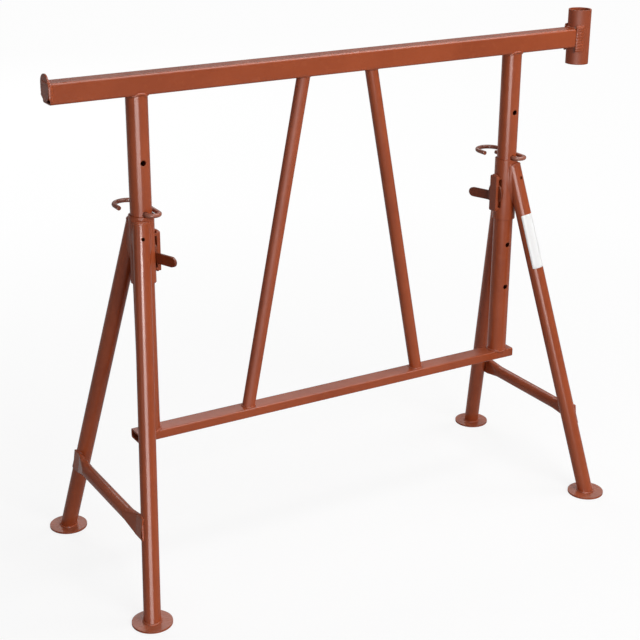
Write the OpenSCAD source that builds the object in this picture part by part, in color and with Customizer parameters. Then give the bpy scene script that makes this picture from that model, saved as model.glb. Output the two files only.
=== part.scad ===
// Builders trestle: a welded frame with two pinned, height-adjustable leg stands.
// Millimetres, +Z up, X along the beam, origin on the ground at the middle of its box.

/* [Frame] */
// Distance between the two post axes
post_spacing = 874; // [600:1:1200]
// Outside diameter of a post
post_diameter = 42.4; // [30:0.1:60]
// Wall of a post
post_wall = 3; // [2:0.1:5]
// Side of the square beam
beam_side = 40; // [30:1:60]
// Wall of the beam, the crossbar and the braces
tube_wall = 3; // [2:0.1:4]
// Outside corner radius of the beam
beam_corner = 5; // [3.5:0.1:8]
// Height of the beam's top face above the ground
beam_top = 1023; // [900:1:1150]
// Beam end past the left post axis
left_overhang = 174; // [100:1:260]
// Axis of the guardrail socket past the right post axis
socket_overhang = 181; // [120:1:260]
// Width of the crossbar
crossbar_width = 40; // [30:1:60]
// Height of the crossbar
crossbar_height = 20; // [15:1:40]
// Outside corner radius of the crossbar
crossbar_corner = 4; // [3.5:0.1:7]
// Height of the crossbar's underside above the ground
crossbar_bottom = 280; // [230:1:330]
// Crossbar end past each post axis
crossbar_overhang = 32; // [25:1:60]
// Outside diameter of a brace
brace_diameter = 26.9; // [20:0.1:35]
// Half the spread of the braces under the beam
brace_top_half = 79; // [40:1:140]
// Half the spread of the braces on the crossbar
brace_bottom_half = 211; // [150:1:300]

/* [Adjusting holes] */
// Diameter of the holes across each post
hole_diameter = 11; // [9:0.1:14]
// Pitch of the holes
hole_pitch = 100; // [80:1:120]
// Holes above the one in use
holes_above = 1; // [0:1:1]
// Holes below the one in use
holes_below = 3; // [1:1:3]

/* [Beam ends] */
// Thickness of the end stop plate
stop_thickness = 3; // [2:0.5:10]
// Rise of the end stop plate over the beam
stop_rise = 15; // [8:1:40]
// Gap from the underside of the beam up to the end stop plate
stop_lift = 5; // [0:1:12]
// Outside diameter of the guardrail socket
socket_diameter = 50; // [40:0.1:70]
// Wall of the guardrail socket
socket_wall = 3; // [2:0.1:5]
// Length of the guardrail socket
socket_length = 118; // [80:1:180]
// Depth of the saddle cut in the beam end around the socket
saddle_depth = 1; // [0.5:0.1:6]

/* [Stands] */
// Radial clearance between a post and its sleeve
sleeve_clearance = 0.8; // [0.4:0.1:1.5]
// Wall of a sleeve
sleeve_wall = 3; // [2:0.1:5]
// Height of a sleeve's top above the ground
sleeve_top = 751; // [700:1:780]
// Length of a sleeve
sleeve_length = 136; // [120:1:180]
// Outside diameter of a leg
leg_diameter = 33.7; // [25:0.1:45]
// Wall of a leg
leg_wall = 2.6; // [2:0.1:4]
// Rise over the sleeve's top of the point where a leg's axis meets the post's axis
leg_apex_rise = 37; // [25:1:60]
// Distance from the post's axis to a leg's axis on the ground
leg_reach = 246; // [200:1:320]
// Angle of a leg outward from the line across the trestle
leg_turn = 25.5; // [15:0.5:35]
// Drop of a leg's closed top below the sleeve's top
leg_drop = 11; // [4:1:20]
// Thickness of a leg's closed top
leg_cap = 4; // [2:0.5:8]
// Diameter of the drain hole near a leg's top
drain_diameter = 7; // [4:0.5:10]
// Drop of the drain hole below the sleeve's top
drain_drop = 43; // [30:1:60]
// Angle of the drain hole round the leg, towards the middle of the trestle
drain_turn = 13; // [0:1:30]
// Diameter of a foot
foot_diameter = 80; // [60:1:120]
// Thickness of a foot
foot_thickness = 4; // [3:0.5:8]

/* [Leg ties] */
// Diameter of a leg tie
tie_diameter = 26.9; // [20:0.1:32]
// Height of a leg tie's axis above the ground
tie_height = 180; // [120:1:240]
// Thickness of a tie's flattened end
tie_flat_thickness = 8; // [7:0.5:12]
// Height of a tie's flattened end
tie_flat_height = 42; // [34:1:50]
// Length of a tie's flattened end
tie_flat_length = 26; // [20:1:50]
// Length of a tie's flattened end past the leg's axis
tie_overshoot = 4; // [2:1:12]
// Length over which a tie flattens
tie_taper_length = 45; // [20:1:60]
// Depth of the saddle cut in a tie's flattened end
tie_bite = 5.5; // [1:0.1:6]
// Overlap of a tie's flattening part with the parts it joins
tie_lap = 1; // [0.5:0.1:2]
// Step down from the tube and the flat to the flattening part
tie_step = 0.6; // [0.5:0.1:1]
// Diameter of the drain hole under a tie
tie_drain = 6; // [4:0.5:8]

/* [Clamps] */
// Thickness of a clamp bar
bar_thickness = 7; // [5:0.5:12]
// Width of a clamp bar
bar_width = 22; // [16:1:26]
// Height of a clamp bar
bar_height = 80; // [74:1:94]
// Corner radius of a clamp bar
bar_corner = 3; // [1:0.5:6]
// Height of the welded pad at each end of a clamp bar
bar_pad = 8; // [5:0.5:12]
// Drop of a clamp bar's top below the sleeve's top
bar_drop = 36; // [20:1:40]
// Thickness of a clamp wedge
wedge_thickness = 4; // [3:0.1:6]
// Clearance on each face of a clamp wedge
wedge_clearance = 0.5; // [0.3:0.1:1]
// Height of a clamp wedge's arm
wedge_arm_height = 21; // [15:1:26]
// Diameter of a clamp wedge's round head
wedge_head = 46; // [36:1:50]
// Offset of the head from the middle of the bar
wedge_head_offset = 10; // [4:1:14]
// Rise of the arm's underside over the head's lowest point
wedge_arm_rise = 2; // [1:0.5:6]
// Gap under a clamp wedge in the sleeve's window
wedge_lift = 8; // [2:0.5:14]
// Distance from the middle of the bar to the bend of the arm, driven home
wedge_bend = 15; // [14:0.5:25]
// Angle of the bent arm
wedge_angle = 21; // [5:1:40]
// Length of the bent arm
wedge_arm = 50; // [30:1:80]
// How far the right wedge stands out
right_wedge_out = 12; // [0:1:14]

/* [Locking pins] */
// Diameter of a pin's rod
pin_diameter = 9; // [8:0.1:10.5]
// Clearance between a pin and the sleeve's top
pin_clearance = 0.2; // [0.1:0.1:1]
// Shank end past the post's axis, on the far side
pin_tail = 39; // [28:1:50]
// Gap from a post to the start of the pin's bend on the near side
pin_front_gap = 1.8; // [1:0.1:10]
// Gap from a post to the sides of the pin's loop
pin_side_gap = 1.3; // [0.8:0.1:8]
// Post axis to the back of the pin's loop
pin_loop_reach = 90; // [86:1:120]
// Length of the hook at the end of the loop
pin_hook = 20; // [10:1:35]

/* [Paint] */
// Colour of the paint, as red, green and blue shares
paint_shares = [0.55, 0.24, 0.14]; // [0:0.01:1]

/* [Hidden] */
$fn = 96;
eps = 0.01;
half_spacing = post_spacing / 2;
post_radius = post_diameter / 2;
beam_bottom = beam_top - beam_side;
crossbar_top = crossbar_bottom + crossbar_height;
socket_x = half_spacing + socket_overhang;
socket_bottom = beam_bottom + beam_side / 2 - socket_length / 2;
beam_left = -half_spacing - left_overhang;
beam_right = socket_x - socket_diameter / 2 + saddle_depth;
middle_x = (socket_x + socket_diameter / 2 + beam_left - stop_thickness) / 2;
crossbar_half = half_spacing + crossbar_overhang;
pin_z = sleeve_top + pin_clearance + pin_diameter / 2;
sleeve_bore = post_diameter + 2 * sleeve_clearance;
sleeve_diameter = sleeve_bore + 2 * sleeve_wall;
sleeve_bottom = sleeve_top - sleeve_length;
leg_apex = sleeve_top + leg_apex_rise;
leg_tilt = atan(leg_reach / leg_apex);
leg_length = 2 * leg_apex;
leg_top = sleeve_top - leg_drop;
leg_plan_angle = 90 + leg_turn;
foot_reach = leg_reach * (leg_apex - foot_thickness / 2) / leg_apex;
tie_reach = leg_reach * (leg_apex - tie_height) / leg_apex;
tie_lean = atan(tan(leg_tilt) * sin(leg_turn));
tie_offset = leg_diameter / 2 - tie_bite + tie_flat_thickness / 2;
tie_half = tie_reach * cos(leg_turn) + tie_overshoot;
tie_out = tie_reach * sin(leg_turn) + tie_offset / cos(tie_lean);
tie_straight_half = tie_half - tie_flat_length - tie_taper_length;
tie_bore_half = tie_straight_half - 2 * tie_lap;
wedge_inner = post_radius + wedge_clearance;
wedge_middle = wedge_inner + wedge_thickness / 2;
bar_inner = wedge_inner + wedge_thickness + wedge_clearance;
bar_top = sleeve_top - bar_drop;
bar_bottom = bar_top - bar_height;
window_bottom = bar_bottom + bar_pad;
window_height = bar_height - 2 * bar_pad;
window_half = sqrt(pow(sleeve_diameter / 2, 2) - pow(post_radius, 2)) + wedge_clearance;
wedge_bottom = window_bottom + wedge_lift;
pin_front = post_radius + pin_front_gap;
pin_loop_radius = post_radius + pin_side_gap + pin_diameter / 2;
pin_turn = pin_loop_radius / 2;
pin_loop_y = pin_loop_reach - pin_loop_radius;
reach = 2 * (post_spacing + left_overhang);

// Shared shapes

// Paints a piece and puts the middle of the trestle's whole length at x = 0
module placed() {
    color(paint_shares)
        translate([-middle_x, 0, 0])
            children();
}

module rounded_rectangle(width, height, corner) {
    union() {
        square([width - 2 * corner, height], center = true);
        square([width, height - 2 * corner], center = true);
        for (x = [-1, 1], y = [-1, 1])
            translate([x * (width / 2 - corner), y * (height / 2 - corner)])
                circle(r = corner);
    }
}

// A square or flat tube along X, its underside at z = 0
module flat_tube(start, finish, width, height, corner) {
    translate([start, 0, height / 2])
        rotate([90, 0, 90])
            linear_extrude(finish - start)
                difference() {
                    rounded_rectangle(width, height, corner);
                    rounded_rectangle(width - 2 * tube_wall, height - 2 * tube_wall, corner - tube_wall);
                }
}

module round_tube(length, diameter, wall) {
    difference() {
        cylinder(d = diameter, h = length);
        translate([0, 0, -eps])
            cylinder(d = diameter - 2 * wall, h = length + 2 * eps);
    }
}

// Everything between two heights
module slab(low, high) {
    translate([-reach / 2, -reach / 2, low])
        cube([reach, reach, high - low]);
}

// A stand's own frame: its post axis on Z, its legs on the -X side. The right stand is turned half round.
module on_stand(side) {
    translate([side * half_spacing, 0, 0])
        rotate([0, 0, side > 0 ? 180 : 0])
            children();
}

// Frame

module post() {
    difference() {
        translate([0, 0, crossbar_top])
            round_tube(beam_bottom - crossbar_top, post_diameter, post_wall);
        for (i = [-holes_below : holes_above])
            translate([0, post_diameter, pin_z + i * hole_pitch])
                rotate([90, 0, 0])
                    cylinder(d = hole_diameter, h = 2 * post_diameter);
    }
}

module brace() {
    rise = beam_bottom - crossbar_top;
    spread = brace_bottom_half - brace_top_half;
    slope = atan(spread / rise);
    overrun = brace_diameter;
    intersection() {
        translate([brace_bottom_half, 0, crossbar_top])
            rotate([0, -slope, 0])
                translate([0, 0, -overrun])
                    round_tube(rise / cos(slope) + 2 * overrun, brace_diameter, tube_wall);
        slab(crossbar_top, beam_bottom);
    }
}

module top_beam() placed() {
    difference() {
        translate([0, 0, beam_bottom])
            flat_tube(beam_left, beam_right, beam_side, beam_side, beam_corner);
        translate([socket_x, 0, socket_bottom])
            cylinder(d = socket_diameter, h = socket_length);
    }
}

module end_stop_plate() placed() {
    low = beam_bottom + stop_lift;
    high = beam_top + stop_rise;
    translate([beam_left - stop_thickness, 0, (low + high) / 2])
        rotate([90, 0, 90])
            linear_extrude(stop_thickness)
                union() {
                    square([beam_side, high - low - beam_side], center = true);
                    for (z = [-1, 1])
                        translate([0, z * (high - low - beam_side) / 2])
                            circle(d = beam_side);
                }
}

module guardrail_socket() placed() {
    translate([socket_x, 0, socket_bottom])
        round_tube(socket_length, socket_diameter, socket_wall);
}

module left_post() placed() {
    translate([-half_spacing, 0, 0])
        post();
}

module right_post() placed() {
    translate([half_spacing, 0, 0])
        post();
}

module left_brace() placed() {
    mirror([1, 0, 0])
        brace();
}

module right_brace() placed() {
    brace();
}

module crossbar() placed() {
    translate([0, 0, crossbar_bottom])
        flat_tube(-crossbar_half, crossbar_half, crossbar_width, crossbar_height, crossbar_corner);
}

// Stands

module sleeve() {
    difference() {
        translate([0, 0, sleeve_bottom])
            round_tube(sleeve_length, sleeve_diameter, sleeve_wall);
        translate([0, -window_half, window_bottom])
            cube([sleeve_diameter, 2 * window_half, window_height]);
    }
}

// Turns to the plan direction of a leg; front is -1, back is 1
module along_leg(end) {
    rotate([0, 0, end * leg_plan_angle])
        children();
}

module leg_rod(diameter) {
    translate([0, 0, leg_apex])
        rotate([0, 180 - leg_tilt, 0])
            cylinder(d = diameter, h = leg_length);
}

module leg(end) {
    drain_z = sleeve_top - drain_drop;
    drain_r = (leg_apex - drain_z) * tan(leg_tilt);
    difference() {
        intersection() {
            along_leg(end) leg_rod(leg_diameter);
            slab(foot_thickness, leg_top);
        }
        intersection() {
            along_leg(end) leg_rod(leg_diameter - 2 * leg_wall);
            slab(0, leg_top - leg_cap);
        }
        translate([0, 0, sleeve_bottom - leg_diameter])
            cylinder(d = sleeve_diameter, h = sleeve_length + 2 * leg_diameter);
        along_leg(end)
            translate([drain_r, 0, drain_z])
                rotate([0, 0, -end * drain_turn])
                    rotate([0, 90 - leg_tilt, 0])
                        cylinder(d = drain_diameter, h = leg_diameter);
    }
}

module foot(end) {
    along_leg(end)
        translate([foot_reach, 0, 0])
            cylinder(d = foot_diameter, h = foot_thickness);
}

// A tie's own frame: its axis on Y, its flattened ends leaning with the legs
module on_tie() {
    translate([-tie_out, 0, tie_height])
        rotate([0, tie_lean, 0])
            children();
}

module tie_end(end) {
    flat_start = tie_half - tie_flat_length;
    inner_thickness = tie_flat_thickness - tie_step;
    inner_height = tie_flat_height - tie_step;
    rotate([0, 0, end > 0 ? 0 : 180]) {
        translate([-tie_flat_thickness / 2, flat_start, -tie_flat_height / 2])
            cube([tie_flat_thickness, tie_flat_length, tie_flat_height]);
        hull() {
            translate([0, tie_straight_half - tie_lap, 0])
                rotate([-90, 0, 0])
                    cylinder(d = tie_diameter - tie_step, h = eps, $fn = 48);
            translate([-inner_thickness / 2, flat_start + tie_lap, -inner_height / 2])
                cube([inner_thickness, eps, inner_height]);
        }
    }
}

module leg_tie() {
    difference() {
        on_tie() {
            translate([0, tie_straight_half, 0])
                rotate([90, 0, 0])
                    cylinder(d = tie_diameter, h = 2 * tie_straight_half);
            tie_end(-1);
            tie_end(1);
        }
        on_tie() {
            translate([0, tie_bore_half, 0])
                rotate([90, 0, 0])
                    cylinder(d = tie_diameter - 2 * tube_wall, h = 2 * tie_bore_half);
            translate([0, 0, -tie_diameter])
                cylinder(d = tie_drain, h = tie_diameter);
        }
        for (end = [-1, 1])
            along_leg(end) leg_rod(leg_diameter);
    }
}

module clamp_bar() {
    difference() {
        union() {
            translate([bar_inner, 0, (bar_bottom + bar_top) / 2])
                rotate([90, 0, 90])
                    linear_extrude(bar_thickness)
                        rounded_rectangle(bar_width, bar_height, bar_corner);
            for (z = [bar_bottom + bar_corner, bar_top - bar_pad])
                translate([post_radius, -bar_width / 2, z])
                    cube([bar_inner - post_radius + eps, bar_width, bar_pad - bar_corner]);
        }
        translate([0, 0, sleeve_bottom])
            cylinder(d = sleeve_diameter, h = sleeve_length);
    }
}

// The wedge's bent strip seen from above, longer than the wedge at both ends
module wedge_plan() {
    half = wedge_thickness / 2;
    mitre = half * tan(wedge_angle / 2);
    run = 2 * wedge_arm;
    far = wedge_head_offset + wedge_head;
    end_x = run * sin(wedge_angle);
    end_y = -wedge_bend - run * cos(wedge_angle);
    side_x = half * cos(wedge_angle);
    side_y = half * sin(wedge_angle);
    polygon([[half, far], [half, mitre - wedge_bend], [end_x + side_x, end_y + side_y],
             [end_x - side_x, end_y - side_y], [-half, -wedge_bend - mitre], [-half, far]]);
}

// The wedge's outline seen along the beam: a round head and an arm with a round end
module wedge_side() {
    tip = wedge_bend + wedge_arm * cos(wedge_angle) - wedge_arm_height / 2;
    union() {
        translate([wedge_head_offset, wedge_head / 2])
            circle(d = wedge_head);
        translate([-tip, wedge_arm_rise])
            square([tip + wedge_head_offset, wedge_arm_height]);
        translate([-tip, wedge_arm_rise + wedge_arm_height / 2])
            circle(d = wedge_arm_height);
    }
}

module clamp_wedge(out) {
    translate([wedge_middle, -out, wedge_bottom])
        intersection() {
            translate([0, 0, -wedge_head / 2])
                linear_extrude(2 * wedge_head)
                    wedge_plan();
            translate([-wedge_head, 0, 0])
                rotate([90, 0, 90])
                    linear_extrude(wedge_head + 2 * wedge_arm)
                        wedge_side();
        }
}

module pin_rod(x, start, finish) {
    translate([x, finish, 0])
        rotate([90, 0, 0])
            cylinder(d = pin_diameter, h = finish - start);
}

module pin_bend(x, y, radius, turn) {
    translate([x, y, 0])
        rotate([0, 0, turn])
            rotate_extrude(angle = 180)
                translate([radius, 0])
                    circle(d = pin_diameter);
}

// A rod through the post, bent back at the near side and round behind the post to a hook
module locking_pin(side) {
    translate([side * half_spacing, 0, pin_z])
        union() {
            pin_rod(0, -pin_front, pin_tail);
            pin_bend(pin_turn, -pin_front, pin_turn, 180);
            pin_rod(pin_loop_radius, -pin_front, pin_loop_y);
            pin_bend(0, pin_loop_y, pin_loop_radius, 0);
            pin_rod(-pin_loop_radius, pin_loop_y - pin_hook, pin_loop_y);
        }
}

module left_sleeve() placed() on_stand(-1) sleeve();
module left_front_leg() placed() on_stand(-1) leg(-1);
module left_back_leg() placed() on_stand(-1) leg(1);
module left_front_foot() placed() on_stand(-1) foot(-1);
module left_back_foot() placed() on_stand(-1) foot(1);
module left_leg_tie() placed() on_stand(-1) leg_tie();
module left_clamp_bar() placed() on_stand(-1) clamp_bar();
module left_clamp_wedge() placed() on_stand(-1) clamp_wedge(0);
module left_locking_pin() placed() locking_pin(-1);
module right_sleeve() placed() on_stand(1) sleeve();
module right_front_leg() placed() on_stand(1) leg(1);
module right_back_leg() placed() on_stand(1) leg(-1);
module right_front_foot() placed() on_stand(1) foot(1);
module right_back_foot() placed() on_stand(1) foot(-1);
module right_leg_tie() placed() on_stand(1) leg_tie();
module right_clamp_bar() placed() on_stand(1) clamp_bar();
module right_clamp_wedge() placed() on_stand(1) clamp_wedge(right_wedge_out);
module right_locking_pin() placed() locking_pin(1);

top_beam();
end_stop_plate();
guardrail_socket();
left_post();
right_post();
left_brace();
right_brace();
crossbar();
left_sleeve();
left_front_leg();
left_back_leg();
left_front_foot();
left_back_foot();
left_leg_tie();
left_clamp_bar();
left_clamp_wedge();
left_locking_pin();
right_sleeve();
right_front_leg();
right_back_leg();
right_front_foot();
right_back_foot();
right_leg_tie();
right_clamp_bar();
right_clamp_wedge();
right_locking_pin();
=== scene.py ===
"""Looks of the builders trestle: paint, weld beads, blank label, floor, light and camera."""

import math
import random

import bmesh
import bpy
from mathutils import Matrix, Vector, noise


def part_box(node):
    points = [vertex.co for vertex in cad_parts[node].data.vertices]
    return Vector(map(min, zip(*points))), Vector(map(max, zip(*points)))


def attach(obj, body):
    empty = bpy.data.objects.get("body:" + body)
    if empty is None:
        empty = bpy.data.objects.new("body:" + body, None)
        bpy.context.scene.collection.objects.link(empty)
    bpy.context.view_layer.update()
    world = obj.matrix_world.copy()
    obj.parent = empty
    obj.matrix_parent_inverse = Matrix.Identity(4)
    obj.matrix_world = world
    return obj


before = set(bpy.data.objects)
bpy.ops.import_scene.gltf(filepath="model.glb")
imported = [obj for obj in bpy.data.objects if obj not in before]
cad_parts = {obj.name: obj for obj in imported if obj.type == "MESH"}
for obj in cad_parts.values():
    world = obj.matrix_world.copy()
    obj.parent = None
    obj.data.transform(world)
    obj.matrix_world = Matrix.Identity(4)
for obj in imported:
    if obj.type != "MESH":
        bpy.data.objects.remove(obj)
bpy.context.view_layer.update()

MM = 0.001

# Sizes that the beads and the label follow, in metres, as in the part's source
POST_R = 21.2 * MM
BRACE_R = 13.45 * MM
SOCKET_R = 25.0 * MM
SLEEVE_R = 25.0 * MM
LEG_R = 16.85 * MM
LEG_APEX = 788 * MM
LEG_REACH = 246 * MM
LEG_TURN = math.radians(25.5)
LEG_TILT = math.atan(LEG_REACH / LEG_APEX)
BEAM_CORNER = 5 * MM
CROSSBAR_CORNER = 4 * MM
BEAM_HALF_WIDTH = 20 * MM
FOOT_TOP = 4 * MM
TIE_HEIGHT = 180 * MM
TIE_FLAT_HALF = 21 * MM
TIE_LEAN = math.atan(math.tan(LEG_TILT) * math.sin(LEG_TURN))
TIE_OFFSET = LEG_R - 1.5 * MM

# A leg's level section is an ellipse, longer outwards than across
LEG_LONG_R = LEG_R / math.cos(LEG_TILT)


def middle(node):
    low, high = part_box(node)
    return (low + high) / 2


# Camera: the photograph's view, from the tubes' edges

CAMERA_PLACE = (-1.49807, -2.43971, 1.54707)
YAW = math.radians(30.6500)
PITCH = math.radians(20.9965)
ROLL = math.radians(0.3576)
SENSOR_MM = 36
PICTURE_PIXELS = 640
FOCAL_PIXELS = 1434.552


def make_camera():
    ahead = Vector((math.sin(YAW) * math.cos(PITCH), math.cos(YAW) * math.cos(PITCH), -math.sin(PITCH)))
    level = Vector((math.cos(YAW), -math.sin(YAW), 0))
    upright = level.cross(ahead)
    right = level * math.cos(ROLL) + upright * math.sin(ROLL)
    up = upright * math.cos(ROLL) - level * math.sin(ROLL)
    data = bpy.data.cameras.new("camera")
    data.sensor_width = SENSOR_MM
    data.lens = SENSOR_MM * FOCAL_PIXELS / PICTURE_PIXELS
    camera = bpy.data.objects.new("camera", data)
    bpy.context.scene.collection.objects.link(camera)
    turn = Matrix((right, up, -ahead)).transposed().to_4x4()
    camera.matrix_world = Matrix.Translation(CAMERA_PLACE) @ turn
    bpy.context.scene.camera = camera


# Materials

# Linear colours of the paint and of what shows through it or lies on it
PAINT_DEEP = (0.310, 0.060, 0.0190)
PAINT_FULL = (0.365, 0.074, 0.0240)
PAINT_PALE = (0.395, 0.086, 0.0300)
PAINT_THIN = (0.44, 0.105, 0.045)
# Pale grey-pink laid in patches on the pins as a painted reflection
PAINTED_SHEEN_COLOUR = (0.34, 0.21, 0.17)
DARK_STEEL = (0.060, 0.036, 0.030)
# Dust, which on up-facing faces also stands in for a painted reflection of light from above
DUST_AND_SHEEN = (0.42, 0.24, 0.18)
SPECK = (0.075, 0.022, 0.014)
LABEL_WHITE = (0.90, 0.90, 0.90)
LABEL_SHADE = (0.86, 0.86, 0.85)
LABEL_DIRT = (0.78, 0.76, 0.73)

# Noises: scale, detail, roughness and, where it isn't nought, distortion
CLOUDS = (7.0, 4.0, 0.55)
MOTTLE = (75.0, 5.0, 0.6, 0.4)
PAINTED_SHEEN_PATCHES = (55.0, 4.0, 0.6)
CHIPS = (240.0, 4.0, 0.65)
DUST_AND_SHEEN_PATCHES = (28.0, 5.0, 0.6)
SPECKS = (620.0, 1.0, 0.4)
SHEEN = (34.0, 4.0, 0.6)
PEEL = (420.0, 2.0, 0.5)
SAG = (40.0, 1.0, 0.5)
LUMPS = (190.0, 4.0, 0.6)
FIBRE = (900.0, 3.0, 0.6)
DIRT = (60.0, 5.0, 0.6)

# Roughness and relief of the paint
GLOSSIEST, LEAST_GLOSSY = 0.17, 0.25
DUST_DULLS, WEAR_DULLS = 0.35, 0.45
PAINT_SPECULAR = 0.38
PEEL_HEIGHT, SAG_HEIGHT, WEAR_DEPTH = 0.03, 0.8, 0.25
PAINT_BUMP = 0.16
PAINT_RELIEF = 0.5 * MM
THIN_SHARE = 0.35
PATTERN_SHIFT = 5
BEVEL_SAMPLES = 4

# Roughness and relief of the label
LABEL_DIRT_MOST = 0.5
LABEL_ROUGHNESS, DIRT_ROUGHNESS = 0.32, 0.48
LABEL_BUMP = 0.2
LABEL_RELIEF = 0.1 * MM

# Sockets of a colour mix, which share their names with those of other kinds of mix
MIX_ONE, MIX_TWO, MIX_OUT = 6, 7, 2


class Graph:
    """The node tree of a material or a world, with short ways to add and link nodes."""

    def __init__(self, owner):
        owner.use_nodes = True
        self.owner = owner
        self.tree = owner.node_tree
        self.shader = self.tree.nodes.get("Principled BSDF")

    def add(self, kind, values=None, **settings):
        node = self.tree.nodes.new(kind)
        for key, value in settings.items():
            setattr(node, key, value)
        for key, value in (values or {}).items():
            node.inputs[key].default_value = value
        return node

    def link(self, source, target):
        self.tree.links.new(source, target)

    def noise(self, where, scale, detail, rough, distortion=0.0):
        values = {"Scale": scale, "Detail": detail, "Roughness": rough, "Distortion": distortion}
        node = self.add("ShaderNodeTexNoise", values)
        self.link(where, node.inputs["Vector"])
        return node.outputs["Fac"]

    def span(self, value, low, high, to_low, to_high):
        """The value's range from low to high, brought to another range and held within it."""
        values = {"From Min": low, "From Max": high, "To Min": to_low, "To Max": to_high}
        node = self.add("ShaderNodeMapRange", values)
        self.link(value, node.inputs["Value"])
        return node.outputs["Result"]

    def math(self, kind, one, two):
        node = self.add("ShaderNodeMath", operation=kind)
        for socket, value in zip(node.inputs, (one, two)):
            if isinstance(value, (int, float)):
                socket.default_value = value
            else:
                self.link(value, socket)
        return node.outputs["Value"]

    def mix(self, factor, one, two):
        node = self.add("ShaderNodeMix", data_type="RGBA")
        self.link(factor, node.inputs["Factor"])
        for socket, value in ((node.inputs[MIX_ONE], one), (node.inputs[MIX_TWO], two)):
            if isinstance(value, tuple):
                socket.default_value = (*value, 1.0)
            else:
                self.link(value, socket)
        return node.outputs[MIX_OUT]

    def mix_shaders(self, factor, one, two):
        node = self.add("ShaderNodeMixShader")
        for socket, value in zip(node.inputs, (factor, one, two)):
            self.link(value, socket)
        return node.outputs["Shader"]

    def relief(self, height, strength, distance, normal=None):
        """The shader's bump, on top of the surface's own or another normal."""
        node = self.add("ShaderNodeBump", {"Strength": strength, "Distance": distance})
        self.link(height, node.inputs["Height"])
        if normal is not None:
            self.link(normal, node.inputs["Normal"])
        self.link(node.outputs["Normal"], self.shader.inputs["Normal"])


def own_place(g, seed):
    """Object coordinates, shifted so that no two pieces share a pattern."""
    rng = random.Random(seed)
    shift = [rng.uniform(-PATTERN_SHIFT, PATTERN_SHIFT) for _ in range(3)]
    place = g.add("ShaderNodeTexCoord")
    moved = g.add("ShaderNodeMapping", {"Location": shift})
    g.link(place.outputs["Object"], moved.inputs["Vector"])
    return moved.outputs["Vector"]


def coat_colour(g, where, tone, painted_sheen):
    """Broad clouds of thicker and thinner paint, a finer mottle and, where asked, a painted sheen: pale
    grey-pink patches that stand in for reflected light.
    """
    deep, full, pale = (tuple(c * tone for c in colour) for colour in (PAINT_DEEP, PAINT_FULL, PAINT_PALE))
    colour = g.mix(g.span(g.noise(where, *CLOUDS), 0.35, 0.65, 0.0, 1.0), deep, full)
    colour = g.mix(g.span(g.noise(where, *MOTTLE), 0.55, 0.80, 0.0, 0.55), colour, pale)
    # Pale patches, a painted reflection of light from above
    if painted_sheen:
        sheen_share = g.span(g.noise(where, *PAINTED_SHEEN_PATCHES), 0.30, 0.70, 0.4 * painted_sheen, 1.4 * painted_sheen)
        colour = g.mix(sheen_share, colour, PAINTED_SHEEN_COLOUR)
    return colour


def edge_mask(g, surface, softened):
    """1 on sharp edges, where the softened normal turns away from the surface's own."""
    dot = g.add("ShaderNodeVectorMath", operation="DOT_PRODUCT")
    g.link(softened, dot.inputs[0])
    g.link(surface, dot.inputs[1])
    return g.span(dot.outputs["Value"], 0.72, 0.95, 1.0, 0.0)


def dust_and_sheen_mask(g, where, surface, dust_and_sheen):
    """Patches of dust on what faces up, heavier the more a face turns up: dust, and with it a painted sheen
    that lightens the tops.
    """
    split = g.add("ShaderNodeSeparateXYZ")
    g.link(surface, split.inputs["Vector"])
    facing_up = g.span(split.outputs["Z"], 0.55, 1.0, 0.0, dust_and_sheen)
    return g.math("MULTIPLY", facing_up, g.span(g.noise(where, *DUST_AND_SHEEN_PATCHES), 0.35, 0.75, 0.2, 1.0))


def paint(name, seed, tone=1.0, dust_and_sheen=0.10, lump=0.0, rust=0.3, soft_edge=1.6 * MM, dull=0.0, painted_sheen=0.0):
    """Glossy red oxide paint: uneven tone, thin edges, dust that is also a painted sheen on tops, pale
    patches of painted sheen where asked, specks and a slight orange peel.
    """
    g = Graph(bpy.data.materials.new(name))
    where = own_place(g, seed)
    surface = g.add("ShaderNodeNewGeometry").outputs["Normal"]
    softened = g.add("ShaderNodeBevel", {"Radius": soft_edge}, samples=BEVEL_SAMPLES).outputs["Normal"]

    # Edges, where the paint runs thin and, in chips, dark steel shows
    edge = edge_mask(g, surface, softened)
    chips = g.span(g.noise(where, *CHIPS), 0.56, 0.66, 0.0, 1.0)
    worn = g.math("MULTIPLY", g.math("MULTIPLY", edge, chips), rust)
    # Dust on up-facing faces, partly a painted sheen that lightens the tops
    dust_and_sheen_share = dust_and_sheen_mask(g, where, surface, dust_and_sheen)
    specks = g.span(g.noise(where, *SPECKS), 0.745, 0.775, 0.0, 0.55)

    colour = coat_colour(g, where, tone, painted_sheen)
    colour = g.mix(g.math("MULTIPLY", edge, THIN_SHARE), colour, tuple(c * tone for c in PAINT_THIN))
    colour = g.mix(worn, colour, DARK_STEEL)
    colour = g.mix(dust_and_sheen_share, colour, DUST_AND_SHEEN)
    colour = g.mix(specks, colour, SPECK)
    g.link(colour, g.shader.inputs["Base Color"])

    # Gloss that varies with the paint's thickness, duller under dust and on worn edges
    rough = g.span(g.noise(where, *SHEEN), 0.30, 0.72, GLOSSIEST + dull, LEAST_GLOSSY + dull)
    rough = g.math("ADD", rough, g.math("MULTIPLY", dust_and_sheen_share, DUST_DULLS))
    rough = g.math("ADD", rough, g.math("MULTIPLY", worn, WEAR_DULLS))
    g.link(rough, g.shader.inputs["Roughness"])
    g.shader.inputs["Specular IOR Level"].default_value = PAINT_SPECULAR

    # Orange peel, brush sag and, on the beads, small lumps
    peel = g.math("MULTIPLY", g.noise(where, *PEEL), PEEL_HEIGHT)
    height = g.math("ADD", peel, g.math("MULTIPLY", g.noise(where, *SAG), SAG_HEIGHT))
    if lump:
        height = g.math("ADD", height, g.math("MULTIPLY", g.noise(where, *LUMPS), lump))
    height = g.math("SUBTRACT", height, g.math("MULTIPLY", worn, WEAR_DEPTH))
    g.relief(height, PAINT_BUMP, PAINT_RELIEF, softened)
    return g.owner


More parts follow.
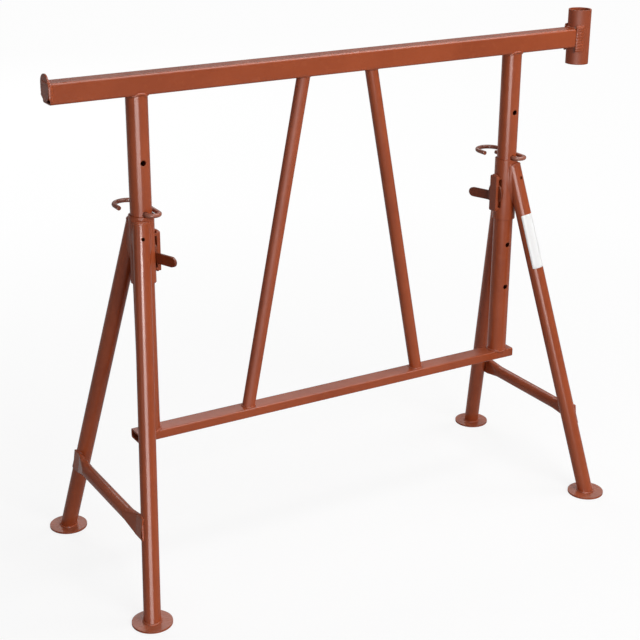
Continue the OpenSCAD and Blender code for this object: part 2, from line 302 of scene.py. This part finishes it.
def label_material():
    """Plain white sticker: faint paper fibre, a little dirt and a satin film."""
    g = Graph(bpy.data.materials.new("label_white"))
    where = g.add("ShaderNodeTexCoord").outputs["Object"]
    fibre = g.noise(where, *FIBRE)
    dirt = g.span(g.noise(where, *DIRT), 0.55, 0.80, 0.0, LABEL_DIRT_MOST)
    colour = g.mix(g.span(fibre, 0.3, 0.7, 0.0, 1.0), LABEL_SHADE, LABEL_WHITE)
    colour = g.mix(dirt, colour, LABEL_DIRT)
    g.link(colour, g.shader.inputs["Base Color"])
    rough = g.span(dirt, 0.0, LABEL_DIRT_MOST, LABEL_ROUGHNESS, DIRT_ROUGHNESS)
    g.link(rough, g.shader.inputs["Roughness"])
    g.relief(fibre, LABEL_BUMP, LABEL_RELIEF)
    return g.owner


# Meshes

BEAD_SIDES = 12
BEAD_STEP = 1.3 * MM
BEAD_LEAST_STEPS = 8
FLATTENING = 0.62
RING_STEPS = 64

# Shares of a bead's radius between its ripples and at an open end, and how many radii long that end is
BETWEEN_RIPPLES = 0.92
AT_END = 0.35
END_LENGTH = 1.6

# How often a bead's size and path waver along it, per metre, and how much
UNEVEN_RATE, WANDER_RATE = 60, 45
WAVER = 0.8


class Shape:
    """Gathers vertices and faces, and makes one object of them."""

    def __init__(self):
        self.points = []
        self.faces = []

    def tube(self, path, radii, closed, flat=None):
        """A round section swept along a path, closed at open ends. flat is a direction it is thinner in."""
        count, sides = len(path), BEAD_SIDES
        base = len(self.points)
        across = None
        for i, point in enumerate(path):
            before = path[i - 1] if i or closed else path[0]
            after = path[(i + 1) % count] if i + 1 < count or closed else path[-1]
            along = (after - before).normalized()
            if across is None:
                across = along.orthogonal()
            across = (across - along * across.dot(along)).normalized()
            other = along.cross(across)
            for k in range(sides):
                turn = 2 * math.pi * k / sides
                arm = (across * math.cos(turn) + other * math.sin(turn)) * radii[i]
                if flat:
                    arm -= flat * (FLATTENING * arm.dot(flat))
                self.points.append(point + arm)

        # A closed tube's last ring may have turned, so it is joined to the first where they are nearest
        rows = count if closed else count - 1
        shift = 0
        if closed:
            first, last = self.points[base], base + (count - 1) * sides
            shift = min(range(sides), key=lambda k: (self.points[last + k] - first).length)
        for i in range(rows):
            one, two = base + i * sides, base + (i + 1) % count * sides
            lead = shift if i + 1 == count else 0
            for k in range(sides):
                a, b = (k + lead) % sides, (k + 1 + lead) % sides
                self.faces.append((one + a, one + b, two + (b - lead) % sides, two + (a - lead) % sides))
        if not closed:
            self.cap(base, sides, path[0], -1)
            self.cap(base + (count - 1) * sides, sides, path[-1], 1)

    def cap(self, first, sides, centre, turn):
        tip = len(self.points)
        self.points.append(centre)
        for k in range(sides):
            a, b = first + k, first + (k + 1) % sides
            self.faces.append((a, b, tip) if turn > 0 else (b, a, tip))

    def loft(self, loops):
        """A skin over loops of points, closed at both ends."""
        base, sides = len(self.points), len(loops[0])
        for loop in loops:
            self.points.extend(loop)
        for i in range(len(loops) - 1):
            one, two = base + i * sides, base + (i + 1) * sides
            for k in range(sides):
                n = (k + 1) % sides
                self.faces.append((one + k, one + n, two + n, two + k))
        self.cap(base, sides, sum(loops[0], Vector()) / sides, -1)
        self.cap(base + (len(loops) - 1) * sides, sides, sum(loops[-1], Vector()) / sides, 1)

    def object(self, name, material, body, slot=None):
        mesh = bpy.data.meshes.new(name)
        mesh.from_pydata(self.points, [], self.faces)
        skin = bmesh.new()
        skin.from_mesh(mesh)
        bmesh.ops.recalc_face_normals(skin, faces=skin.faces)
        skin.to_mesh(mesh)
        skin.free()
        mesh.polygons.foreach_set("use_smooth", [True] * len(mesh.polygons))
        mesh.materials.append(material)
        mesh.update()
        piece = bpy.data.objects.new(name, mesh)
        bpy.context.scene.collection.objects.link(piece)
        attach(piece, body)
        return piece


def resample(path, step, closed):
    """The path's points again, evenly spaced, with how far along each lies."""
    loop = path + path[:1] if closed else path
    lengths = [0.0]
    for a, b in zip(loop, loop[1:]):
        lengths.append(lengths[-1] + (b - a).length)
    count = max(BEAD_LEAST_STEPS, round(lengths[-1] / step))
    points, marks, j = [], [], 0
    for i in range(count if closed else count + 1):
        mark = lengths[-1] * i / count
        while j + 2 < len(lengths) and lengths[j + 1] < mark:
            j += 1
        gap = lengths[j + 1] - lengths[j]
        points.append(loop[j].lerp(loop[j + 1], (mark - lengths[j]) / gap if gap else 0))
        marks.append(mark)
    return points, marks


def part_way(values, share):
    """The value that lies a share of the way through a list."""
    at = share * (len(values) - 1)
    low = min(int(at), len(values) - 2)
    return values[low] + (values[low + 1] - values[low]) * (at - low)


def bead(shape, path, radius, closed=False, seed=0, pitch=4 * MM, ripple=0.13, fade=True, flat=None):
    """A weld bead: ripples of uneven size along a path. radius is one size, or a list of them."""
    points, marks = resample(path, BEAD_STEP, closed)
    total = marks[-1]
    radii, moved = [], []
    for point, mark in zip(points, marks):
        size = part_way(radius, mark / total) if isinstance(radius, list) else radius

        # Each bead reads its own rows of the noise
        uneven = noise.noise(Vector((mark * UNEVEN_RATE, seed * 3.7, 0.5)))
        wander = noise.noise(Vector((mark * WANDER_RATE, 9.1, seed * 1.3)))
        wave = abs(math.sin(math.pi * mark / pitch + WAVER * uneven))
        size *= BETWEEN_RIPPLES + ripple * wave + WAVER * ripple * uneven
        if not closed and fade:
            size *= AT_END + (1 - AT_END) * min(1.0, min(mark, total - mark) / (END_LENGTH * size))
        radii.append(size)
        moved.append(point + Vector((0, 0, WAVER * ripple * size * wander)))
    shape.tube(moved, radii, closed, flat)


def ellipse(centre, one, two):
    """Points round an ellipse, given its two half axes."""
    turns = (2 * math.pi * i / RING_STEPS for i in range(RING_STEPS))
    return [centre + one * math.cos(t) + two * math.sin(t) for t in turns]


# Weld beads of the frame

POST_BEAD = 2.6 * MM
POST_BEAD_STEPS = 72
CORNER_CLIMB = 0.6
BRACE_BEAD = 2.2 * MM
SOCKET_BEAD = 2.8 * MM
SOCKET_BEAD_HALF = 17 * MM
SOCKET_BEAD_STEPS = 8

# The stop plate's beads: flat ones down the beam's sides, and one across its top
STOP_SIDE_BEAD = 4.6 * MM
STOP_SIDE_PITCH = 6 * MM
STOP_SIDE_INSET = 1.5 * MM
STOP_SIDE_SINK = 0.3 * MM
STOP_SIDE_HEIGHTS = [h * MM for h in (6, 16, 26, 36)]
STOP_TOP_BEAD = 4.2 * MM
STOP_TOP_PITCH = 7 * MM
STOP_TOP_PLACES = [y * MM for y in (-17, -6, 6, 17)]

# The wide weld between beam and socket, in millimetres from the socket's axis and the beam's middle.
# Its plan goes from the beam's end round to the socket's front, with each point's share of the bulge.
FILL_PLAN = [
    (-24.2, -19.2, 0.2), (-21.0, -20.6, 0.8), (-17.0, -22.2, 1.0), (-12.8, -23.6, 1.0),
    (-9.0, -24.6, 0.9), (-6.2, -24.8, 0.6), (-4.0, -24.5, 0.1),
]
FILL_LOW, FILL_HIGH = -31, 27
FILL_STEPS = 116
FILL_END = 9
FILL_END_SINK = 1.2
FILL_PITCH = 6.2
FILL_ROOT = 3.0
FILL_BOW = 0.35
FILL_BULGE, FILL_RIPPLE, FILL_WAVER = 1.3, 1.0, 0.8
FILL_PITCH_WAVER = 0.9


def post_ring(axis_x, z, corner, up):
    """A post's end against a narrower flat tube, whose rounded corners the bead climbs."""
    points = []
    for i in range(POST_BEAD_STEPS):
        t = 2 * math.pi * i / POST_BEAD_STEPS
        x, y = POST_R * math.cos(t), POST_R * math.sin(t)
        y = max(-BEAM_HALF_WIDTH, min(BEAM_HALF_WIDTH, y))
        over = max(0.0, abs(y) - (BEAM_HALF_WIDTH - corner))
        climb = corner - math.sqrt(max(0.0, corner**2 - over**2))
        points.append(Vector((axis_x + x, y, z + up * CORNER_CLIMB * climb)))
    return points


def frame_welds():
    shape = Shape()
    beam_low, beam_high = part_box("top_beam")
    bar_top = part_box("crossbar")[1].z
    for n, side in enumerate(("left", "right")):
        axis_x = middle(side + "_post").x
        bead(shape, post_ring(axis_x, beam_low.z, BEAM_CORNER, 1), POST_BEAD, True, seed=n + 1)
        bead(shape, post_ring(axis_x, bar_top, CROSSBAR_CORNER, -1), POST_BEAD, True, seed=n + 3)
        low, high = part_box(side + "_brace")
        slope = math.atan2((high.x - low.x) - 2 * BRACE_R, high.z - low.z)
        half = BRACE_R / math.cos(slope)
        top_x, bottom_x = (high.x - half, low.x + half) if side == "left" else (low.x + half, high.x - half)
        for m, (x, z) in enumerate(((top_x, beam_low.z), (bottom_x, bar_top))):
            loop = ellipse(Vector((x, 0, z)), Vector((half, 0, 0)), Vector((0, BRACE_R, 0)))
            bead(shape, loop, BRACE_BEAD, True, seed=n + 2 * m + 5)
    socket_welds(shape, beam_low.z, beam_high.z)
    stop_welds(shape, beam_low, beam_high)
    return shape


def socket_welds(shape, beam_bottom, beam_top):
    """Wide woven welds beside the beam's end, thin runs above and below it."""
    socket_x = middle("guardrail_socket").x
    for n, side in enumerate((-1, 1)):
        socket_fill(shape, Vector((socket_x, 0, (beam_bottom + beam_top) / 2)), side, n)
    for n, z in enumerate((beam_bottom, beam_top)):
        run = []
        for i in range(-SOCKET_BEAD_STEPS, SOCKET_BEAD_STEPS + 1):
            y = SOCKET_BEAD_HALF * i / SOCKET_BEAD_STEPS
            run.append(Vector((socket_x - math.sqrt(SOCKET_R**2 - y**2), y, z)))
        bead(shape, run, SOCKET_BEAD, seed=n + 13)


def socket_fill(shape, centre, side, seed):
    """A wide weld in the corner between the beam's end and the socket, with bowed ripples across it."""
    loops = []
    mid = len(FILL_PLAN) // 2
    for i in range(FILL_STEPS + 1):
        h = FILL_LOW + (FILL_HIGH - FILL_LOW) * i / FILL_STEPS
        taper = min(1.0, (h - FILL_LOW) / FILL_END, (FILL_HIGH - h) / FILL_END)
        taper = math.sqrt(max(0.0, taper * (2 - taper)))
        front, back = [], []
        for k, (x, y, bulge) in enumerate(FILL_PLAN):
            point = Vector((x, y, 0))
            out = point.normalized()
            bow = ((k - mid) / mid) ** 2
            uneven = noise.noise(Vector((h * 0.11, k * 0.35, seed * 5.1)))
            wave = abs(math.sin(math.pi * (h / FILL_PITCH + FILL_BOW * bow) + FILL_PITCH_WAVER * uneven))
            lift = bulge * (FILL_BULGE + FILL_RIPPLE * wave + FILL_WAVER * uneven) * taper
            lift -= FILL_END_SINK * (1 - taper)
            front.append(point + out * lift)
            back.append(point - out * FILL_ROOT)
        loop = [Vector((p.x, -side * p.y, h)) * MM + centre for p in front + back[::-1]]
        loops.append(loop if side < 0 else loop[::-1])
    shape.loft(loops)


def stop_welds(shape, low, high):
    """A flat run down each side of the beam at its stop plate, and a fillet across its top."""
    half = (high.y - low.y) / 2
    for n, side in enumerate((-1, 1)):
        x, y = low.x + STOP_SIDE_INSET, side * (half - STOP_SIDE_SINK)
        run = [Vector((x, y, low.z + h)) for h in STOP_SIDE_HEIGHTS]
        bead(shape, run, STOP_SIDE_BEAD, seed=n + 15, pitch=STOP_SIDE_PITCH, flat=Vector((0, 1, 0)))
    run = [Vector((low.x, y, high.z)) for y in STOP_TOP_PLACES]
    bead(shape, run, STOP_TOP_BEAD, seed=17, pitch=STOP_TOP_PITCH)


# Weld beads of a stand

SEAM_BEAD = 2.2 * MM
SEAM_PITCH = 7 * MM
SEAM_RIPPLE = 0.07
SEAM_STEP = 3 * MM
SEAM_ANGLES = 400

# The fillet beside a seam: its sections, its reach above and below the leg's top, and its hollow
FILLET_SECTIONS = 34
FILLET_STEP = 2.6 * MM
FILLET_RISE = 2.0 * MM
FILLET_CROWN = 2.2 * MM
FILLET_LENGTH = 90 * MM
FILLET_FADE = 2.2
FILLET_HOLLOW = 0.05
FILLET_ROOT = 2 * MM
FILLET_STEPS = 6
BISECTIONS = 40

# The rounded top of a leg: the bead's steps round it, and its place and radius as shares of the top's width
TOP_STEPS = 9
TOP_STEP_DEGREES = 7.5
TOP_PLACE, TOP_SHARE = 0.45, 0.52
TOP_EXTRA = 0.8 * MM
TOP_LEAST_WIDTH = 0.2 * MM
TOP_PITCH = 8 * MM
TOP_RIPPLE = 0.09

FOOT_BEAD = 2.4 * MM
CLAMP_BEAD = 2.4 * MM
CLAMP_BEAD_PLACES = [y * MM for y in (-9, -3, 3, 9)]
CLAMP_BEAD_DEPTH = 0.55

# The bead round a tie's end, in degrees round the leg
TIE_BEAD = 2.3 * MM
TIE_RIPPLE = 0.08
TIE_ARC_START, TIE_ARC = -48, 61
TIE_ARC_STEPS = 11


def leg_plan(side, end):
    """Outward plan direction of a leg: side -1 is left, end -1 is the front."""
    return Vector((side * math.sin(LEG_TURN), end * math.cos(LEG_TURN), 0))


def leg_out(z):
    """How far a leg's axis lies from its post's axis at a height."""
    return (LEG_APEX - z) * math.tan(LEG_TILT)


def leg_centre(axis_x, side, end, z):
    return Vector((axis_x, 0, z)) + leg_plan(side, end) * leg_out(z)


def leg_extent(turn):
    """How far a leg's level section reaches in a direction, from its middle."""
    return math.hypot(LEG_LONG_R * math.cos(turn), LEG_R * math.sin(turn))


def seam_half_angle(z):
    """Half the angle, from above, over which a leg meets its sleeve at a height. None below the seam."""
    out = leg_out(z)
    best = None
    for i in range(SEAM_ANGLES):
        t = math.radians(90 * i / SEAM_ANGLES)
        x, y = SLEEVE_R * math.cos(t), SLEEVE_R * math.sin(t)
        if ((x - out) / LEG_LONG_R) ** 2 + (y / LEG_R) ** 2 <= 1:
            best = t
    return best


def leg_seam(shape, axis_x, plan, across, top, seed):
    """The seam between leg and sleeve: down one side, round its foot and up the other."""
    one, two = [], []
    z = top
    while (t := seam_half_angle(z)) is not None:
        out = plan * SLEEVE_R * math.cos(t)
        one.append(Vector((axis_x, 0, z)) + out + across * SLEEVE_R * math.sin(t))
        two.append(Vector((axis_x, 0, z)) + out - across * SLEEVE_R * math.sin(t))
        z -= SEAM_STEP
    bead(shape, one + two[::-1], SEAM_BEAD, seed=seed, pitch=SEAM_PITCH, ripple=SEAM_RIPPLE)


def fillet_section(out, half, share):
    """A fillet's section from above, with the leg towards +x. At a share of 1 it touches both tubes."""
    low, high = 0.0, math.pi / 2
    for _ in range(BISECTIONS):
        mid = (low + high) / 2
        if out * math.cos(mid) + leg_extent(mid) > SLEEVE_R:
            low = mid
        else:
            high = mid
    normal = Vector((math.cos(low), math.sin(low)))
    reach = leg_extent(low)
    corner = Vector((math.cos(half), math.sin(half))) * SLEEVE_R
    touch = Vector((out + LEG_LONG_R**2 * normal.x / reach, LEG_R**2 * normal.y / reach))
    on_sleeve = corner.lerp(normal * SLEEVE_R, share)
    on_leg = corner.lerp(touch, share)
    loop = []
    for k in range(FILLET_STEPS + 1):
        u = k / FILLET_STEPS
        hollow = FILLET_HOLLOW * (on_leg - on_sleeve).length * 4 * u * (1 - u)
        loop.append(on_sleeve.lerp(on_leg, u) - normal * hollow)
    loop.append(corner - normal * FILLET_ROOT)
    return loop


def seam_fillet(shape, axis_x, plan, across, top):
    """A smooth weld between a leg and its sleeve: full at the leg's top, gone at the seam's foot."""
    loops = []
    for i in range(FILLET_SECTIONS):
        z = top + FILLET_RISE - FILLET_STEP * i
        level = min(z, top)
        half = seam_half_angle(level)
        if half is None:
            break
        if z < top:
            share = max(0.0, 1 - ((top - z) / FILLET_LENGTH) ** FILLET_FADE)
        else:
            share = math.sqrt(1 - ((z - top) / FILLET_CROWN) ** 2)
        section = fillet_section(leg_out(level), half, share)
        loops.append([Vector((axis_x, 0, z)) + plan * p.x + across * p.y for p in section])
    shape.loft(loops)


def leg_top(shape, axis_x, centre, plan, across, seed):
    """The closed top of a leg, rounded over to the sleeve."""
    run, sizes = [], []
    for i in range(-TOP_STEPS, TOP_STEPS + 1):
        t = math.radians(TOP_STEP_DEGREES * i)
        outer = centre + plan * LEG_LONG_R * math.cos(t) + across * LEG_R * math.sin(t)
        arm = Vector((outer.x - axis_x, outer.y, 0))
        width = arm.length - SLEEVE_R
        if width < TOP_LEAST_WIDTH:
            continue
        run.append(Vector((axis_x, 0, centre.z)) + arm.normalized() * (SLEEVE_R + TOP_PLACE * width))
        sizes.append(TOP_SHARE * width + TOP_EXTRA)
    bead(shape, run, sizes, seed=seed, pitch=TOP_PITCH, ripple=TOP_RIPPLE, fade=False)


def tie_weld(shape, axis_x, side, end, seed):
    """A tie's flattened end: one run under the leg, up the end and back over the leg."""
    out = Vector((side * math.cos(TIE_LEAN), 0, math.sin(TIE_LEAN)))
    rise = Vector((-side * math.sin(TIE_LEAN), 0, math.cos(TIE_LEAN)))
    tie_x = leg_centre(axis_x, side, end, TIE_HEIGHT).x + side * TIE_OFFSET / math.cos(TIE_LEAN)
    tie = Vector((tie_x, 0, TIE_HEIGHT))
    run = []
    for h in (-1, 1):
        edge = h * TIE_FLAT_HALF
        z = TIE_HEIGHT + (edge - TIE_OFFSET * math.tan(TIE_LEAN)) * math.cos(TIE_LEAN)
        y = leg_centre(axis_x, side, end, z).y
        arc = []
        for i in range(TIE_ARC_STEPS + 1):
            t = math.radians(TIE_ARC_START + TIE_ARC * i / TIE_ARC_STEPS)
            deep = LEG_R * math.cos(t) - TIE_OFFSET
            arc.append(tie + rise * edge + out * deep + Vector((0, y + end * LEG_R * math.sin(t), 0)))
        run += arc if h < 0 else arc[::-1]
    bead(shape, run, TIE_BEAD, seed=seed, ripple=TIE_RIPPLE)


def clamp_welds(shape, name, side):
    """A clamp bar's welded ends."""
    low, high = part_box(name + "_clamp_bar")
    near, far = (low.x, high.x) if side < 0 else (high.x, low.x)
    x = near * (1 - CLAMP_BEAD_DEPTH) + far * CLAMP_BEAD_DEPTH
    for n, z in enumerate((low.z, high.z)):
        run = [Vector((x, y, z)) for y in CLAMP_BEAD_PLACES]
        bead(shape, run, CLAMP_BEAD, seed=40 + 10 * side + n)


def stand_welds(name, side):
    shape = Shape()
    axis_x = middle(name + "_post").x
    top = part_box(name + "_front_leg")[1].z
    for end in (-1, 1):
        plan = leg_plan(side, end)
        across = Vector((-plan.y, plan.x, 0))
        seed = 20 + 10 * side + 4 * end
        leg_seam(shape, axis_x, plan, across, top, seed + 1)
        for hand in (across, -across):
            seam_fillet(shape, axis_x, plan, hand, top)
        leg_top(shape, axis_x, leg_centre(axis_x, side, end, top), plan, across, seed + 2)
        foot = leg_centre(axis_x, side, end, FOOT_TOP)
        bead(shape, ellipse(foot, plan * LEG_LONG_R, across * LEG_R), FOOT_BEAD, True, seed=seed + 3)
        tie_weld(shape, axis_x, side, end, seed + 5)
    clamp_welds(shape, name, side)
    return shape


# Label: along the leg from its apex, and round it from its outer side

LABEL_START, LABEL_FINISH = 165.5 * MM, 288 * MM
LABEL_LEFT, LABEL_RIGHT = math.radians(84), math.radians(-66)
LABEL_OUTER_R = LEG_R + 0.25 * MM
LABEL_INNER_R = LEG_R + 0.02 * MM
LABEL_CORNER = 3 * MM
LABEL_WAVE = 0.06 * MM
WAVES_ALONG, WAVES_ROUND = 90, 2.0
LABEL_ROWS, LABEL_COLUMNS = 60, 40


def label():
    """A blank sticker with rounded corners, bent round the right front leg."""
    axis_x = middle("right_post").x
    apex = Vector((axis_x, 0, LEG_APEX))
    along = (leg_centre(axis_x, 1, -1, 0) - apex).normalized()
    plan = leg_plan(1, -1)
    out = (plan - along * plan.dot(along)).normalized()
    across = along.cross(out)
    shape = Shape()
    for radius in (LABEL_OUTER_R, LABEL_INNER_R):
        for i in range(LABEL_ROWS + 1):
            s = LABEL_START + (LABEL_FINISH - LABEL_START) * i / LABEL_ROWS
            from_end = min(s - LABEL_START, LABEL_FINISH - s)
            inset = 0.0
            if from_end < LABEL_CORNER:
                inset = (LABEL_CORNER - math.sqrt(LABEL_CORNER**2 - (LABEL_CORNER - from_end) ** 2)) / LEG_R
            left, right = LABEL_LEFT - inset, LABEL_RIGHT + inset
            for j in range(LABEL_COLUMNS + 1):
                t = left + (right - left) * j / LABEL_COLUMNS
                reach = radius
                if radius == LABEL_OUTER_R:
                    reach += LABEL_WAVE * noise.noise(Vector((s * WAVES_ALONG, t * WAVES_ROUND, 3.3)))
                shape.points.append(apex + along * s + (out * math.cos(t) + across * math.sin(t)) * reach)
    label_faces(shape)
    return shape


def label_faces(shape):
    """The faces of the label's outer and inner sheets, and of the rim between them."""
    width = LABEL_COLUMNS + 1
    sheet = (LABEL_ROWS + 1) * width
    for i in range(LABEL_ROWS):
        for j in range(LABEL_COLUMNS):
            a = i * width + j
            shape.faces.append((a, a + 1, a + 1 + width, a + width))
            shape.faces.append((a + sheet + width, a + sheet + width + 1, a + sheet + 1, a + sheet))
    rim = list(range(width))
    rim += [i * width + LABEL_COLUMNS for i in range(1, LABEL_ROWS + 1)]
    rim += [LABEL_ROWS * width + j for j in range(LABEL_COLUMNS - 1, -1, -1)]
    rim += [i * width for i in range(LABEL_ROWS - 1, 0, -1)]
    for a, b in zip(rim, rim[1:] + rim[:1]):
        shape.faces.append((b, a, a + sheet, b + sheet))


# Floor and light

BACKGROUND = 0.97
WORLD_FILL = 0.12
MIRRORED_SHARE = 0.14
WHITE = (1, 1, 1, 1)
FLOOR_HALF = 40
FLOOR_GAP = 0.1 * MM
FLOOR_BOUNCE = (0.40, 0.40, 0.40, 1)
FLOOR_ROUGHNESS = 0.9
FLOOR_SPECULAR = 0.1
FLOOR_SEEN = (0.95, 0.95, 0.95, 1)

# Near the trestle more of the lit floor shows, so that it keeps a shadow
NEAR, FAR = 0.8, 2.4
NEAR_GLOW = 0.82


def area_light(name, place, target, width, height, energy, lights="all"):
    """A soft box. lights says what it acts on: all, matt surfaces only, or gloss only."""
    data = bpy.data.lights.new(name, "AREA")
    data.shape = "RECTANGLE"
    data.size, data.size_y = width, height
    data.energy = energy
    lamp = bpy.data.objects.new(name, data)
    bpy.context.scene.collection.objects.link(lamp)
    lamp.location = place
    lamp.rotation_euler = (Vector(target) - Vector(place)).to_track_quat("-Z", "Y").to_euler()
    lamp.visible_camera = False
    lamp.visible_glossy = lights != "matt"
    lamp.visible_diffuse = lights != "gloss"


def make_lamps():
    """Places and targets in metres, then width, height and watts."""
    area_light("key", (0.3, -4.6, 2.4), (0, 0, 0.6), 3.0, 2.4, 175, "matt")
    area_light("rear", (0, 4.8, 2.3), (0, 0, 0.6), 3.0, 2.4, 110, "matt")
    area_light("side", (-3.5, -1.0, 1.5), (0, 0, 0.5), 2.0, 2.0, 9)
    area_light("right", (4.2, -1.2, 3.0), (0, 0, 0.5), 2.4, 2.0, 40, "matt")
    area_light("overhead", (0.9, -0.3, 2.6), (0.9, -0.25, 0), 2.0, 0.6, 16)
    area_light("sky", (0.7, -0.9, 2.7), (0.5, -0.4, 0), 2.6, 2.2, 75, "gloss")
    area_light("back", (4.08, 6.88, 5.5), (0, 0, 0.6), 6.0, 2.6, 95)
    area_light("front_panel", (-1.58, -2.42, 0.55), (0, 0, 0.55), 1.8, 1.1, 52, "gloss")
    area_light("leg_panel", (-1.5, -2.2, 1.29), (-0.5, -0.1, 0.67), 0.9, 0.44, 13, "gloss")
    area_light("glint", (-1.6, -2.0, 1.27), (-0.5, -0.1, 0.67), 1.0, 0.34, 19, "gloss")


def seen_rays(g):
    """1 for camera and transmission rays, a share of that for reflections, and 0 for other light."""
    path = g.add("ShaderNodeLightPath")
    mirrored = g.math("MULTIPLY", path.outputs["Is Glossy Ray"], MIRRORED_SHARE)
    seen = g.math("MAXIMUM", path.outputs["Is Camera Ray"], mirrored)
    return g.math("MAXIMUM", seen, path.outputs["Is Transmission Ray"])


def make_floor():
    mesh = bpy.data.meshes.new("floor")
    corners = [(x * FLOOR_HALF, y * FLOOR_HALF, 0) for x, y in ((-1, -1), (1, -1), (1, 1), (-1, 1))]
    mesh.from_pydata(corners, [], [(0, 1, 2, 3)])
    floor = bpy.data.objects.new("floor", mesh)
    floor.location.z = -FLOOR_GAP
    bpy.context.scene.collection.objects.link(floor)

    # A mid grey for the light that it sends back, a pale one for the camera, and a white glow over both
    g = Graph(bpy.data.materials.new("floor_white"))
    g.shader.inputs["Base Color"].default_value = FLOOR_BOUNCE
    g.shader.inputs["Roughness"].default_value = FLOOR_ROUGHNESS
    g.shader.inputs["Specular IOR Level"].default_value = FLOOR_SPECULAR
    pale = g.add("ShaderNodeBsdfDiffuse", {"Color": FLOOR_SEEN})
    glow = g.add("ShaderNodeEmission", {"Color": WHITE, "Strength": 1.0})
    path = g.add("ShaderNodeLightPath")
    lit = g.mix_shaders(path.outputs["Is Camera Ray"], g.shader.outputs["BSDF"], pale.outputs["BSDF"])
    place = g.add("ShaderNodeNewGeometry")
    away = g.add("ShaderNodeVectorMath", operation="LENGTH")
    g.link(place.outputs["Position"], away.inputs[0])
    glow_share = g.span(away.outputs["Value"], NEAR, FAR, NEAR_GLOW, BACKGROUND)
    surface = g.mix_shaders(g.math("MULTIPLY", seen_rays(g), glow_share), lit, glow.outputs["Emission"])
    g.link(surface, g.tree.nodes["Material Output"].inputs["Surface"])
    mesh.materials.append(g.owner)


def make_world():
    g = Graph(bpy.data.worlds.new("studio"))
    fill = g.tree.nodes["Background"]
    fill.inputs["Color"].default_value = WHITE
    fill.inputs["Strength"].default_value = WORLD_FILL
    white = g.add("ShaderNodeBackground", {"Color": WHITE, "Strength": BACKGROUND})
    surface = g.mix_shaders(seen_rays(g), fill.outputs["Background"], white.outputs["Background"])
    g.link(surface, g.tree.nodes["World Output"].inputs["Surface"])
    bpy.context.scene.world = g.owner


make_camera()
make_world()
make_floor()
make_lamps()

# How the paint on some solids differs, by the end of their names
COATS = {
    "guardrail_socket": {"tone": 0.89, "dull": 0.32},
    "end_stop_plate": {"tone": 0.94},
    "left_brace": {"dull": 0.34},
    "leg_tie": {"soft_edge": 2.5 * MM},
    # The feet get more dust, which paints their tops lighter as a painted reflection
    "foot": {"tone": 0.96, "dust_and_sheen": 0.30},
    "clamp_bar": {"tone": 0.90},
    "clamp_wedge": {"tone": 0.55},
    # The pins' pale patches are a painted reflection
    "locking_pin": {"tone": 0.85, "painted_sheen": 0.35},
}
for index, (node, piece) in enumerate(sorted(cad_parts.items())):
    coat = next((c for word, c in COATS.items() if node.endswith(word)), {})
    piece.data.materials.clear()
    piece.data.materials.append(paint("paint_" + node, index, **coat))

WELD_SEED = 77
weld_paint = paint("paint_welds", WELD_SEED, tone=0.97, dust_and_sheen=0.25, lump=1.6, rust=0.15, dull=0.10)
frame_welds().object("frame_welds", weld_paint, "frame", "top_beam")
stand_welds("left", -1).object("left_stand_welds", weld_paint, "left_stand", "left_sleeve")
stand_welds("right", 1).object("right_stand_welds", weld_paint, "right_stand", "right_sleeve")
label().object("blank_label", label_material(), "right_stand")

bpy.context.scene.view_settings.view_transform = "Standard"
